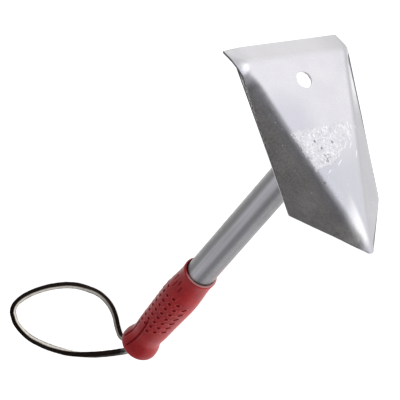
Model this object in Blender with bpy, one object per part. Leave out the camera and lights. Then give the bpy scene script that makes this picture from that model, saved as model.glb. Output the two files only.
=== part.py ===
"""Short-handled scraper shovel of pressed aluminium sheet, with a tubular handle, a moulded grip
and a leather wrist lace. It lies on its right side: on the corner of the lip, the corner of one
wing and the rim of the grip's butt.

Units are metres and +Z is up. The tool is designed in its own axes, which one empty then lays
down: x is out of the blade's front face, y is to the right of a person who faces that face, and
z is from the blade's tip to its lip. The tip is the tool's origin.
"""

import math

import bmesh
import bpy
import numpy as np
from mathutils import Matrix, Vector

GAP = 0.0003  # between pieces that touch
SHARP = math.radians(40)  # edges that turn more than this stay sharp

# Blade: a pentagon of sheet with a lip at the top and two wings folded back
SHEET = 0.002
BEND_HEIGHT = 0.1692  # the lip's bend line, above the tip
BEND_HALF = 0.0540  # half the width along that line
LIP_RUN = 0.0159  # how far the lip rises above its bend line
LIP_HALF = 0.0551
LIP_ANGLE = math.radians(30.4)
WING_HEIGHT = 0.0482  # the wings' lower corners
WING_HALF = 0.0453
FOLD_HALF = 0.0507  # the folds run from the tip to here on the lip's bend line
WING_ANGLE = math.radians(36.7)
SOFT_FOLD = 0.0042  # half the width of a fold's rounded part
SOFT_LIP = 0.0046
TIP_RADIUS = 0.0042
HANG_HOLE_HEIGHT = 0.1473
HANG_HOLE_RADIUS = 0.00685
HOLE_SIDES = 36
CENTRE_COLUMNS = 7  # from the middle of the blade to a fold
WING_COLUMNS = 7  # from a fold to the blade's edge
TIP_TURNS = (9, 22, 35, 46)  # degrees round the tip's circle, one for each row
WING_ROWS = 9
BODY_ROWS = 16
BEND_ROWS = 9
LIP_ROWS = 4

# Handle: a tube welded to the back of the blade, tilted towards the tip
TUBE_RADIUS = 0.0127
TUBE_WALL = 0.0016
TUBE_FOOT_HEIGHT = 0.1029  # where the tube's axis meets the front face
TUBE_TILT = math.radians(7.9)
TUBE_END = 0.3220  # along the axis from the front face
WELD_LEG = 0.0052
WELD_BULGE = 0.0007
WELD_STEPS = 4
ROUND_SIDES = 48

# Grip, along the tube's axis from the front face
GRIP_MOUTH = 0.2195
GRIP_BUTT = 0.3450  # the widest ring of the butt
BUTT_RADIUS = 0.0170
BUTT_DOME = 0.0072
DOME_TURNS = (12, 26, 38, 50, 60)  # degrees from the butt's rim towards its lace hole
LACE_HOLE_RADIUS = 0.0058
HOLE_EDGE = 0.0010
MOUTH_EDGE = 0.0008
GRIP_SIDES = 44
GRIP_OUTLINE = (  # (distance from the mouth, radius)
    (0.0000, 0.0143),
    (0.0012, 0.0151),
    (0.0034, 0.0153),
    (0.0052, 0.0148),
    (0.0095, 0.0147),
    (0.0185, 0.0152),
    (0.0275, 0.0159),
    (0.0365, 0.0164),
    (0.0455, 0.0165),
    (0.0555, 0.0161),
    (0.0655, 0.0157),
    (0.0775, 0.0152),
    (0.0885, 0.0149),
    (0.0985, 0.0145),
    (0.1055, 0.0140),
    (0.1105, 0.0140),
    (0.1145, 0.0149),
    (0.1185, 0.0161),
    (0.1220, 0.0168),
    (0.1255, 0.0170),
)

# Lace: leather, both ends knotted inside the end of the tube
LACE_WIDTH = 0.0050
LACE_FLOOR = 0.00255  # its centreline's height where it lies on the floor
LACE_STEP = 0.0105
STRAND_APART = 0.0055
LACE_STRAIGHT = 0.0040  # it comes straight out of the butt for this far
KNOT_RADIUS = 0.0088
KNOT_PLACE = TUBE_END - KNOT_RADIUS
# The route on the floor, seen from above, from the point under the butt's centre: x towards the
# blade along the handle, y to the left, then the height.
LACE_ROUTE = (
    (-0.0200, 0.0055, 0.0118),
    (-0.0295, 0.0115, 0.0060),
    (-0.0370, 0.0195, 0.0015),
    (-0.0395, 0.0280, 0.0),
    (-0.0380, 0.0375, 0.0),
    (-0.0358, 0.0470, 0.0),
    (-0.0363, 0.0565, 0.0),
    (-0.0405, 0.0672, 0.0),
    (-0.0480, 0.0778, 0.0),
    (-0.0566, 0.0861, 0.0),
    (-0.0682, 0.0960, 0.0),
    (-0.0814, 0.1047, 0.0),
    (-0.0953, 0.1121, 0.0),
    (-0.1107, 0.1193, 0.0),
    (-0.1292, 0.1263, 0.0),
    (-0.1450, 0.1310, 0.0),
    (-0.1600, 0.1338, 0.0),
    (-0.1720, 0.1332, 0.0),
    (-0.1782, 0.1275, 0.0),
    (-0.1782, 0.1185, 0.0),
    (-0.1740, 0.1080, 0.0),
    (-0.1660, 0.0955, 0.0),
    (-0.1550, 0.0838, 0.0),
    (-0.1430, 0.0728, 0.0),
    (-0.1300, 0.0620, 0.0),
    (-0.1150, 0.0508, 0.0),
    (-0.0976, 0.0401, 0.0),
    (-0.0781, 0.0297, 0.0),
    (-0.0624, 0.0222, 0.0),
    (-0.0470, 0.0153, 0.0),
    (-0.0355, 0.0092, 0.0030),
    (-0.0270, 0.0030, 0.0085),
    (-0.0195, -0.0012, 0.0122),
)

AXIS = Vector((-math.cos(TUBE_TILT), 0, -math.sin(TUBE_TILT)))
FOOT = Vector((0, 0, TUBE_FOOT_HEIGHT))
TO_AXIS = Matrix.Translation(FOOT) @ AXIS.to_track_quat("Z", "Y").to_matrix().to_4x4()


# Helpers


def material(name, colour, roughness, metallic):
    made = bpy.data.materials.new(name)
    made.use_nodes = True
    shader = made.node_tree.nodes["Principled BSDF"]
    shader.inputs["Base Color"].default_value = (*colour, 1)
    shader.inputs["Roughness"].default_value = roughness
    shader.inputs["Metallic"].default_value = metallic
    return made


def place(name, data, parent, look):
    piece = bpy.data.objects.new(name, data)
    piece.parent = parent
    data.materials.append(look)
    bpy.context.collection.objects.link(piece)
    return piece


def smooth(data):
    data.shade_smooth()
    data.set_sharp_from_angle(angle=SHARP)


def ring_mesh(name, rings):
    """A closed mesh through rings of points, whose last ring joins the first."""
    shape = bmesh.new()
    made = [[shape.verts.new(point) for point in ring] for ring in rings]
    for start, end in zip(made, made[1:] + made[:1], strict=True):
        for i, corner in enumerate(start):
            j = (i + 1) % len(start)
            shape.faces.new((corner, start[j], end[j], end[i]))
    bmesh.ops.recalc_face_normals(shape, faces=shape.faces)
    data = bpy.data.meshes.new(name)
    shape.to_mesh(data)
    shape.free()
    smooth(data)
    return data


def turns(sides):
    return [2 * math.pi * i / sides for i in range(sides)]


def circle(radius, along, sides):
    """Points round the tube's axis, at a distance along it."""
    spots = [(radius * math.cos(turn), radius * math.sin(turn)) for turn in turns(sides)]
    return [TO_AXIS @ Vector((across, up, along)) for across, up in spots]


# Blade


def ramp(distance, soft):
    """0 before a bend and the distance past it after, rounded for soft either way."""
    if distance <= -soft:
        return 0.0
    if distance >= soft:
        return distance
    return (distance + soft) ** 2 / (4 * soft)


def front_face(y, z):
    """The point of the blade's front face at a width and a height."""
    fold = math.atan2(FOLD_HALF, BEND_HEIGHT)
    past_fold = abs(y) * math.cos(fold) - z * math.sin(fold)
    past_other = -abs(y) * math.cos(fold) - z * math.sin(fold)
    wings = ramp(past_fold, SOFT_FOLD) + ramp(past_other, SOFT_FOLD)
    lip = ramp(z - BEND_HEIGHT, SOFT_LIP)
    return Vector((-math.tan(WING_ANGLE) * wings - math.tan(LIP_ANGLE) * lip, y, z))


def half_width(z):
    """Half the blade's width at a height above the rounded tip."""
    if z >= BEND_HEIGHT:
        return BEND_HALF + (LIP_HALF - BEND_HALF) * (z - BEND_HEIGHT) / LIP_RUN
    if z >= WING_HEIGHT:
        share = (z - WING_HEIGHT) / (BEND_HEIGHT - WING_HEIGHT)
        return WING_HALF + (BEND_HALF - WING_HALF) * share
    slope = math.atan2(WING_HALF, WING_HEIGHT)
    for _ in range(8):  # the side touches the tip's circle and ends at the wing's corner
        apex = TIP_RADIUS - TIP_RADIUS / math.sin(slope)
        slope = math.atan2(WING_HALF, WING_HEIGHT - apex)
    tangent = TIP_RADIUS * (1 - math.sin(slope))
    if z < tangent:
        return math.sqrt(max(0.0, TIP_RADIUS**2 - (TIP_RADIUS - z) ** 2))
    return (z - apex) * math.tan(slope)


def row_heights():
    """Heights of the blade's rows: closer at the rounded tip and at the lip's bend."""
    tip = [TIP_RADIUS * (1 - math.cos(math.radians(turn))) for turn in TIP_TURNS]
    wing = np.linspace(2.2 * tip[-1], WING_HEIGHT, WING_ROWS)
    body = np.linspace(WING_HEIGHT, BEND_HEIGHT - 1.6 * SOFT_LIP, BODY_ROWS)[1:]
    bend = np.linspace(BEND_HEIGHT - SOFT_LIP, BEND_HEIGHT + SOFT_LIP, BEND_ROWS)
    lip = np.linspace(BEND_HEIGHT + SOFT_LIP, BEND_HEIGHT + LIP_RUN, LIP_ROWS)[1:]
    return [float(z) for z in (*tip, *wing, *body, *bend, *lip)]


def row_widths(z):
    """Widths across one row, from the middle to the right edge: closest beside the fold."""
    edge = half_width(z)
    fold = min(z * FOLD_HALF / BEND_HEIGHT, 0.92 * edge)
    quarter = math.pi / 2
    inner = [fold * math.sin(quarter * i / CENTRE_COLUMNS) for i in range(CENTRE_COLUMNS + 1)]
    shares = [1 - math.cos(quarter * j / WING_COLUMNS) for j in range(1, WING_COLUMNS + 1)]
    return inner + [fold + (edge - fold) * share for share in shares]


def make_blade(parent, look):
    shape = bmesh.new()
    rows = []
    for z in row_heights():
        right = row_widths(z)
        across = [-y for y in reversed(right[1:])] + right
        rows.append([shape.verts.new(front_face(y, z)) for y in across])
    for low, high in zip(rows, rows[1:], strict=False):
        for i in range(len(low) - 1):
            shape.faces.new((low[i], low[i + 1], high[i + 1], high[i]))
    data = bpy.data.meshes.new("blade")
    shape.to_mesh(data)
    shape.free()
    smooth(data)
    blade = place("blade", data, parent, look)
    thick = blade.modifiers.new("sheet", "SOLIDIFY")
    thick.thickness = SHEET
    thick.offset = -1
    thick.use_even_offset = True
    cut = blade.modifiers.new("hang_hole", "BOOLEAN")
    cut.operation = "DIFFERENCE"
    cut.object = make_punch(parent)


def make_punch(parent):
    """The cutter of the hang hole."""
    data = bpy.data.meshes.new("hang_hole")
    punch = bmesh.new()
    turn = Matrix.Translation((0, 0, HANG_HOLE_HEIGHT)) @ Matrix.Rotation(math.pi / 2, 4, "Y")
    bmesh.ops.create_cone(
        punch,
        cap_ends=True,
        segments=HOLE_SIDES,
        radius1=HANG_HOLE_RADIUS,
        radius2=HANG_HOLE_RADIUS,
        depth=4 * SHEET,
        matrix=turn,
    )
    punch.to_mesh(data)
    punch.free()
    hole = bpy.data.objects.new("hang_hole", data)
    hole.parent = parent
    hole.hide_render = True
    hole.display_type = "WIRE"
    bpy.context.collection.objects.link(hole)
    return hole


# Handle


def ring_behind(radius, clear):
    """Points round the tube's axis, each at a distance behind the blade's back face."""
    ring = []
    for point in circle(radius, 0, ROUND_SIDES):
        ring.append(point + AXIS * (SHEET + clear + point.x) / math.cos(TUBE_TILT))
    return ring


def make_tube(parent, look):
    inner = TUBE_RADIUS - TUBE_WALL
    rings = [
        ring_behind(TUBE_RADIUS, GAP),
        circle(TUBE_RADIUS, TUBE_END, ROUND_SIDES),
        circle(inner, TUBE_END, ROUND_SIDES),
        ring_behind(inner, GAP),
    ]
    place("handle_tube", ring_mesh("handle_tube", rings), parent, look)


def make_weld(parent, look):
    """A fillet: its section bulges a little between the tube and the blade's back."""
    near = TUBE_RADIUS + GAP
    rings = []
    for step in range(WELD_STEPS + 1):
        share = step / WELD_STEPS
        bulge = WELD_BULGE * math.sin(math.pi * share)
        out = WELD_LEG * share + bulge
        up = WELD_LEG * (1 - share) + bulge
        rings.append(ring_behind(near + out, GAP + up))
    rings.append(ring_behind(near, GAP))
    place("weld_bead", ring_mesh("weld_bead", rings), parent, look)


# Grip


def make_grip(parent, look):
    bore = TUBE_RADIUS + GAP
    floor = TUBE_END + GAP
    profile = [(bore, GRIP_MOUTH + MOUTH_EDGE)]
    profile += [(radius, GRIP_MOUTH + along) for along, radius in GRIP_OUTLINE]
    for turn in np.radians(DOME_TURNS):
        profile.append((BUTT_RADIUS * math.cos(turn), GRIP_BUTT + BUTT_DOME * math.sin(turn)))
    dome = profile[-1][1] + HOLE_EDGE / 3
    profile += [(LACE_HOLE_RADIUS + HOLE_EDGE, dome), (LACE_HOLE_RADIUS, dome - HOLE_EDGE)]
    profile += [(LACE_HOLE_RADIUS, floor), (bore, floor)]
    rings = [circle(radius, along, GRIP_SIDES) for radius, along in profile]
    place("grip", ring_mesh("grip", rings), parent, look)


# Resting place


def resting_turn():
    """The rotation that lays the tool on its right side. The floor's plane holds the corners of
    the lip and the right wing, and touches the rim of the grip's butt."""
    lip = front_face(LIP_HALF, BEND_HEIGHT + LIP_RUN)
    wing = front_face(WING_HALF, WING_HEIGHT)
    butt = FOOT + AXIS * GRIP_BUTT
    edge = (wing - lip).normalized()
    left = Vector((0, -1, 0))
    left = (left - edge * left.dot(edge)).normalized()
    across = left.cross(edge)

    def up_at(angle):
        return left * math.cos(angle) + across * math.sin(angle)

    def clearance(angle):
        up = up_at(angle)
        return (butt - lip).dot(up) - BUTT_RADIUS * math.sqrt(1 - up.dot(AXIS) ** 2)

    low, high = -0.5, 0.5
    for _ in range(50):
        middle = (low + high) / 2
        if clearance(low) * clearance(middle) > 0:
            low = middle
        else:
            high = middle
    up = up_at(low)
    front = Vector((1, 0, 0))
    front = (front - up * front.dot(up)).normalized()
    return Matrix((front, up.cross(front), up)).to_4x4()


def lay_down(tool, pieces):
    """Turns the tool's empty, then stands it on z = 0 with its outer box centred on the origin."""
    turned = resting_turn()
    depsgraph = bpy.context.evaluated_depsgraph_get()
    points = np.array(
        [turned @ v.co for p in pieces for v in p.evaluated_get(depsgraph).data.vertices]
    )
    low, high = points.min(axis=0), points.max(axis=0)
    shift = Vector((-(low[0] + high[0]) / 2, -(low[1] + high[1]) / 2, -low[2]))
    tool.matrix_world = Matrix.Translation(shift) @ turned
    return tool.matrix_world.copy()


# Lace


def smooth_route(points, step):
    """Evenly spaced points on a smooth curve through the route's points."""
    dense = []
    ends = [2 * points[0] - points[1], *points, 2 * points[-1] - points[-2]]
    for a, b, c, d in zip(ends, ends[1:], ends[2:], ends[3:], strict=False):
        for i in range(24):
            t = i / 24
            dense.append(
                0.5
                * (
                    2 * b
                    + (c - a) * t
                    + (2 * a - 5 * b + 4 * c - d) * t**2
                    + (3 * b - a - 3 * c + d) * t**3
                )
            )
    dense.append(points[-1])
    lengths = [0.0]
    for a, b in zip(dense, dense[1:], strict=False):
        lengths.append(lengths[-1] + (b - a).length)
    places = np.linspace(0, lengths[-1], round(lengths[-1] / step) + 1)
    rows = [np.interp(places, lengths, [p[k] for p in dense]) for k in range(3)]
    return [Vector(p) for p in zip(*rows, strict=True)]


def make_lace(laid, look):
    """Out of the grip's end, round on the floor and back into the grip's end."""
    along = (laid.to_3x3() @ AXIS).normalized()
    flat = Vector((along.x, along.y, 0)).normalized()
    left = Vector((flat.y, -flat.x, 0))
    butt = laid @ (FOOT + AXIS * GRIP_BUTT)
    under = Vector((butt.x, butt.y, LACE_FLOOR))
    knot = laid @ (FOOT + AXIS * KNOT_PLACE)
    reach = KNOT_RADIUS + GAP
    out = laid @ (FOOT + AXIS * (GRIP_BUTT + BUTT_DOME + LACE_STRAIGHT))
    first = left * (STRAND_APART / 2)
    floor = [under - flat * x + left * y + Vector((0, 0, z)) for x, y, z in LACE_ROUTE]
    ends = [knot + along * reach, (knot + along * reach + out) / 2, out]
    route = [p + first for p in ends] + floor + [p - first for p in reversed(ends)]
    points = smooth_route(route, LACE_STEP)
    data = bpy.data.curves.new("wrist_lace", "CURVE")
    data.dimensions = "3D"
    data.bevel_depth = LACE_WIDTH / 2
    data.bevel_resolution = 3
    data.use_fill_caps = True
    spline = data.splines.new("POLY")
    spline.points.add(len(points) - 1)
    for spot, point in zip(spline.points, points, strict=True):
        spot.co = (*point, 1)
    place("wrist_lace", data, None, look)


def make_knot(parent, look):
    data = bpy.data.meshes.new("lace_knot")
    shape = bmesh.new()
    bmesh.ops.create_icosphere(shape, subdivisions=3, radius=KNOT_RADIUS)
    move = TO_AXIS @ Matrix.Translation((0, 0, KNOT_PLACE))
    bmesh.ops.transform(shape, matrix=move, verts=shape.verts)
    shape.to_mesh(data)
    shape.free()
    smooth(data)
    place("lace_knot", data, parent, look)


def main():
    for old in list(bpy.data.objects):
        bpy.data.objects.remove(old)
    sheet = material("pressed_aluminium", (0.80, 0.80, 0.82), 0.34, 1.0)
    tube = material("drawn_aluminium", (0.60, 0.60, 0.62), 0.42, 1.0)
    weld = material("weld_metal", (0.62, 0.62, 0.63), 0.5, 1.0)
    red = material("red_vinyl", (0.42, 0.025, 0.03), 0.35, 0.0)
    leather = material("dark_leather", (0.035, 0.022, 0.018), 0.6, 0.0)
    tool = bpy.data.objects.new("tool", None)
    bpy.context.collection.objects.link(tool)
    make_blade(tool, sheet)
    make_tube(tool, tube)
    make_weld(tool, weld)
    make_grip(tool, red)
    make_knot(tool, leather)
    names = ("blade", "handle_tube", "weld_bead", "grip")
    bpy.context.view_layer.update()
    laid = lay_down(tool, [bpy.data.objects[name] for name in names])
    make_lace(laid, leather)
    bpy.context.view_layer.update()


main()
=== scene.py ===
"""Looks of a short-handled scraper shovel: pressed aluminium blade, drawn tube, rippled weld, dimpled
red grip and leather wrist lace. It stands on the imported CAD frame, in metres, with +Z up.

The tool's own axes are x out of the blade's front face, y to the right of a person who faces that
face, and z from the blade's tip to its lip. The tip is their origin.
"""

import math
import random
from types import SimpleNamespace

import bpy
import numpy as np
from mathutils import Matrix, Vector, noise
from mathutils.geometry import delaunay_2d_cdt


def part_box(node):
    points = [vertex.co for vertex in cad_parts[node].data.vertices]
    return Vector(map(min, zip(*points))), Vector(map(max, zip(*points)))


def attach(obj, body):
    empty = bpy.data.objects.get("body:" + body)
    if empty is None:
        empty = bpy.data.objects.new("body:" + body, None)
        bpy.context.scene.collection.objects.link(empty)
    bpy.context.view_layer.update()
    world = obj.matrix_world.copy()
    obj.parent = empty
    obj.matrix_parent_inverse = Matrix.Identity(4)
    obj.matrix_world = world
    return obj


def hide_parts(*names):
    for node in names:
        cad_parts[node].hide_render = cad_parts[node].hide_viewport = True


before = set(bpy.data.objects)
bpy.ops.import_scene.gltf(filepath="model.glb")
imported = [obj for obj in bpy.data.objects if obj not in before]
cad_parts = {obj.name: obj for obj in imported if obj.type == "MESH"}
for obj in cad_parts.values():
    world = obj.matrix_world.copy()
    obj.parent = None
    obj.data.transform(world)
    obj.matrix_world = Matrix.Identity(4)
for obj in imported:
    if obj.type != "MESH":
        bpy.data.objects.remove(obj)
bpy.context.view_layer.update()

GAP = 0.0003  # between pieces that touch
SHARP = math.radians(40)  # edges that turn more than this stay sharp

# Blade, with the same sizes as in the CAD model
SHEET = 0.002
BEND_HEIGHT = 0.1692  # the lip's bend line, above the tip
BEND_HALF = 0.0540  # half the width along that line
LIP_RUN = 0.0159  # how far the lip rises above its bend line
LIP_HALF = 0.0551
LIP_ANGLE = math.radians(30.4)
WING_HEIGHT = 0.0482  # the wings' lower corners
WING_HALF = 0.0453
FOLD_HALF = 0.0507  # the folds run from the tip to here on the lip's bend line
FOLD = math.atan2(FOLD_HALF, BEND_HEIGHT)
WING_ANGLE = math.radians(36.7)
SOFT_FOLD = 0.0042  # half the width of a fold's rounded part
SOFT_LIP = 0.0046
TIP_RADIUS = 0.0042
HOLE_HEIGHT = 0.1473
HOLE_RADIUS = 0.00685

# Marks on the blade's front face, at (y, z)
RESIDUE_OUTLINE = (  # clockwise, without the side that the fold cuts off
    (-0.036, 0.106),
    (0.019, 0.108),
    (0.019, 0.096),
    (-0.001, 0.077),
    (-0.028, 0.071),
)
SCRATCH_COUNT = 16
SCRATCH_SEED = 4
SCRATCH_SPREAD = 0.014  # how far from the residue they reach
SCRATCH_LENGTHS = (0.0025, 0.0075)
SCRATCH_TURN = 0.5  # how far one may turn from the residue's side, in radians
PITS = (-0.007, 0.081)
STAINS = ((-0.013, 0.096), (0.003, 0.093), (-0.009, 0.0895), (-0.018, 0.062))

# Tube and weld
TUBE_RADIUS = 0.0127
TUBE_FOOT_HEIGHT = 0.1029  # where its axis meets the blade's front face
TUBE_TILT = math.radians(7.9)
TUBE_END = 0.3220
WELD_LEG = 0.0052
ROUND_SIDES = 48

# Grip, along the tube's axis from the blade's front face
GRIP_MOUTH = 0.2195
GRIP_BUTT = 0.3450  # the widest ring of the butt
BUTT_RADIUS = 0.0170
BUTT_DOME = 0.0072
LACE_HOLE_RADIUS = 0.0058
HOLE_EDGE = 0.0010
GRIP_OUTLINE = (  # (distance from the mouth, radius)
    (0.0000, 0.0143),
    (0.0010, 0.0150),
    (0.0030, 0.0151),
    (0.0060, 0.0149),
    (0.0100, 0.0148),
    (0.0185, 0.0152),
    (0.0275, 0.0159),
    (0.0365, 0.0164),
    (0.0455, 0.0165),
    (0.0555, 0.0161),
    (0.0655, 0.0157),
    (0.0775, 0.0152),
    (0.0885, 0.0149),
    (0.0985, 0.0145),
    (0.1055, 0.0140),
    (0.1105, 0.0140),
    (0.1145, 0.0149),
    (0.1185, 0.0161),
    (0.1220, 0.0168),
    (0.1255, 0.0170),
)

# Lace
LACE_WIDTH = 0.0050
LACE_THICK = 0.0042
LACE_FLOOR = 0.00255  # the height of its middle where it lies on the floor
STRAND_APART = 0.0055
LACE_STRAIGHT = 0.0040  # how far it runs straight out of the butt
KNOT_RADIUS = 0.0088
KNOT_PLACE = TUBE_END - KNOT_RADIUS
LACE_ROUTE = (  # beyond the butt, to its left, and above LACE_FLOOR
    (-0.0189, 0.0084, 0.0095),
    (-0.0244, 0.0140, 0.0065),
    (-0.0305, 0.0199, 0.0035),
    (-0.0356, 0.0239, 0.0012),
    (-0.0392, 0.0285, 0.0),
    (-0.0380, 0.0375, 0.0),
    (-0.0358, 0.0470, 0.0),
    (-0.0363, 0.0565, 0.0),
    (-0.0405, 0.0672, 0.0),
    (-0.0480, 0.0778, 0.0),
    (-0.0566, 0.0861, 0.0),
    (-0.0682, 0.0960, 0.0),
    (-0.0814, 0.1047, 0.0),
    (-0.0953, 0.1121, 0.0),
    (-0.1107, 0.1193, 0.0),
    (-0.1292, 0.1263, 0.0),
    (-0.1450, 0.1310, 0.0),
    (-0.1600, 0.1338, 0.0),
    (-0.1720, 0.1332, 0.0),
    (-0.1782, 0.1275, 0.0),
    (-0.1782, 0.1185, 0.0),
    (-0.1740, 0.1080, 0.0),
    (-0.1660, 0.0955, 0.0),
    (-0.1550, 0.0838, 0.0),
    (-0.1430, 0.0728, 0.0),
    (-0.1300, 0.0620, 0.0),
    (-0.1150, 0.0508, 0.0),
    (-0.0976, 0.0401, 0.0),
    (-0.0781, 0.0297, 0.0),
    (-0.0624, 0.0222, 0.0),
    (-0.0470, 0.0153, 0.0),
    (-0.0335, 0.0096, 0.0045),
    (-0.0242, 0.0059, 0.0085),
    (-0.0172, 0.0025, 0.0115),
)

AXIS = Vector((-math.cos(TUBE_TILT), 0, -math.sin(TUBE_TILT)))
FOOT = Vector((0, 0, TUBE_FOOT_HEIGHT))
TO_AXIS = Matrix.Translation(FOOT) @ AXIS.to_track_quat("Z", "Y").to_matrix().to_4x4()


# Shapes that the CAD model has too


def ramp(distance, soft):
    """0 before a bend and the distance past it after, rounded for soft either way."""
    if distance <= -soft:
        return 0.0
    if distance >= soft:
        return distance
    return (distance + soft) ** 2 / (4 * soft)


def rise(value, low, high):
    """0 below low, 1 above high, smooth between."""
    share = min(1.0, max(0.0, (value - low) / (high - low)))
    return share * share * (3 - 2 * share)


def front_face(y, z):
    """The point of the blade's front face at a width and a height."""
    past_fold = abs(y) * math.cos(FOLD) - z * math.sin(FOLD)
    past_other = -abs(y) * math.cos(FOLD) - z * math.sin(FOLD)
    wings = ramp(past_fold, SOFT_FOLD) + ramp(past_other, SOFT_FOLD)
    lip = ramp(z - BEND_HEIGHT, SOFT_LIP)
    return Vector((-math.tan(WING_ANGLE) * wings - math.tan(LIP_ANGLE) * lip, y, z))


def wing_side():
    """The slope of the blade's lower sides, and where they would meet below the rounded tip."""
    slope, apex = math.atan2(WING_HALF, WING_HEIGHT), 0.0
    for _ in range(8):
        apex = TIP_RADIUS - TIP_RADIUS / math.sin(slope)
        slope = math.atan2(WING_HALF, WING_HEIGHT - apex)
    return slope, apex


def circle(radius, along, sides):
    """Points round the tube's axis, at a distance along it."""
    turns = [2 * math.pi * i / sides for i in range(sides)]
    spots = [(radius * math.cos(turn), radius * math.sin(turn)) for turn in turns]
    return [TO_AXIS @ Vector((across, up, along)) for across, up in spots]


def ring_behind(radius, clear, sides=ROUND_SIDES):
    """Points round the tube's axis, each at a distance behind the blade's back face."""
    spots = circle(radius, 0, sides)
    return [p + AXIS * (SHEET + clear + p.x) / math.cos(TUBE_TILT) for p in spots]


def resting_turn():
    """The rotation that lays the tool on its right side, on lip, wing and butt."""
    lip = front_face(LIP_HALF, BEND_HEIGHT + LIP_RUN)
    wing = front_face(WING_HALF, WING_HEIGHT)
    butt = FOOT + AXIS * GRIP_BUTT
    edge = (wing - lip).normalized()
    left = Vector((0, -1, 0))
    left = (left - edge * left.dot(edge)).normalized()
    across = left.cross(edge)

    def up_at(angle):
        return left * math.cos(angle) + across * math.sin(angle)

    def clearance(angle):
        up = up_at(angle)
        return (butt - lip).dot(up) - BUTT_RADIUS * math.sqrt(1 - up.dot(AXIS) ** 2)

    low, high = -0.5, 0.5
    for _ in range(50):
        middle = (low + high) / 2
        if clearance(low) * clearance(middle) > 0:
            low = middle
        else:
            high = middle
    up = up_at(low)
    front = Vector((1, 0, 0))
    front = (front - up * front.dot(up)).normalized()
    return Matrix((front, up.cross(front), up)).to_4x4()


def laid_down():
    """The tool's matrix: its rotation, then the move that puts the tube where the CAD has it."""
    turned = resting_turn()
    tube = ring_behind(TUBE_RADIUS, GAP) + circle(TUBE_RADIUS, TUBE_END, ROUND_SIDES)
    low = np.array([turned @ p for p in tube]).min(axis=0)
    return Matrix.Translation(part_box("handle_tube")[0] - Vector(low)) @ turned


LAID = laid_down()
GRIP_FRAME = LAID @ TO_AXIS


# Camera

LENS = 206.5
EYE_AHEAD = Vector((-0.7809, 0.5721, 0.2507))  # where the camera looks, in the tool's axes
EYE_DOWN = Vector((-0.3969, -0.1446, -0.9064))
TIP_RIGHT, TIP_DOWN, TIP_AHEAD = 0.1308, 0.04024, 1.7374  # the blade's tip, from the camera


def make_camera():
    ahead = EYE_AHEAD.normalized()
    down = (EYE_DOWN - ahead * EYE_DOWN.dot(ahead)).normalized()
    right = down.cross(ahead)
    place = -(right * TIP_RIGHT + down * TIP_DOWN + ahead * TIP_AHEAD)
    turn = Matrix((right, -down, -ahead)).transposed().to_4x4()
    data = bpy.data.cameras.new("camera")
    data.lens = LENS
    data.sensor_width = 36
    data.clip_start, data.clip_end = 0.05, 50
    camera = bpy.data.objects.new("camera", data)
    camera.matrix_world = LAID @ Matrix.Translation(place) @ turn
    bpy.context.scene.collection.objects.link(camera)
    bpy.context.scene.camera = camera


# Materials


class Look:
    """A material with a Principled shader and short calls that add its nodes."""

    def __init__(self, name, **sockets):
        self.material = bpy.data.materials.new(name)
        self.material.use_nodes = True
        self.nodes = self.material.node_tree.nodes
        self.links = self.material.node_tree.links
        self.shader = self.nodes["Principled BSDF"]
        self.set(self.shader, sockets)

    def set(self, node, sockets):
        for name, value in sockets.items():
            socket = node.inputs[name if isinstance(name, int) else name.replace("_", " ")]
            if isinstance(value, bpy.types.NodeSocket):
                self.links.new(value, socket)
            elif socket.type == "RGBA" and len(value) == 3:
                socket.default_value = (*value, 1)
            else:
                socket.default_value = value

    def add(self, kind, sockets=None, out=0, **settings):
        node = self.nodes.new(kind)
        for name, value in settings.items():
            setattr(node, name, value)
        self.set(node, sockets or {})
        return node.outputs[out]

    def place(self, matrix, scale=(1, 1, 1)):
        """Coordinates in a frame whose matrix is given, each stretched by a scale."""
        spot = self.add("ShaderNodeTexCoord", out="Object")
        back = matrix.inverted()
        turned = self.add(
            "ShaderNodeMapping",
            {0: spot, 1: back.to_translation(), 2: back.to_euler()},
        )
        return self.vector("MULTIPLY", turned, scale)

    def split(self, spot):
        """A spot's three coordinates."""
        node = self.nodes.new("ShaderNodeSeparateXYZ")
        self.links.new(spot, node.inputs[0])
        return tuple(node.outputs)

    def attribute(self, name):
        return self.add("ShaderNodeAttribute", out="Fac", attribute_name=name)

    def noise(self, spot, scale, detail=3.0, rough=0.5, distortion=0.0):
        return self.add(
            "ShaderNodeTexNoise",
            {
                "Vector": spot,
                "Scale": scale,
                "Detail": detail,
                "Roughness": rough,
                "Distortion": distortion,
            },
        )

    def cells(self, spot, scale):
        """Distance to the nearest of many strewn points."""
        return self.add("ShaderNodeTexVoronoi", {"Vector": spot, "Scale": scale}, feature="F1")

    def vector(self, operation, a, b, out=0):
        return self.add("ShaderNodeVectorMath", {0: a, 1: b}, out=out, operation=operation)

    def maths(self, operation, a, b=0.0, clamp=False):
        return self.add("ShaderNodeMath", {0: a, 1: b}, operation=operation, use_clamp=clamp)

    def times(self, product, *factors):
        for factor in factors:
            product = self.maths("MULTIPLY", product, factor)
        return product

    def least(self, *values):
        smallest = values[0]
        for value in values[1:]:
            smallest = self.maths("MINIMUM", smallest, value)
        return smallest

    def stretch(self, value, low, high, to_low=0.0, to_high=1.0):
        """The value's range from low to high, smoothly stretched to another range."""
        return self.add(
            "ShaderNodeMapRange",
            {0: value, 1: low, 2: high, 3: to_low, 4: to_high},
            interpolation_type="SMOOTHSTEP",
        )

    def mix(self, share, a, b):
        node = self.nodes.new("ShaderNodeMix")
        node.data_type = "RGBA"
        self.set(node, {0: share, 6: a, 7: b})
        return node.outputs[2]

    def bump(self, height, depth, normal=None):
        sockets = {"Height": height, "Distance": depth, "Strength": 1.0}
        if normal is not None:
            sockets["Normal"] = normal
        return self.add("ShaderNodeBump", sockets)


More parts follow.
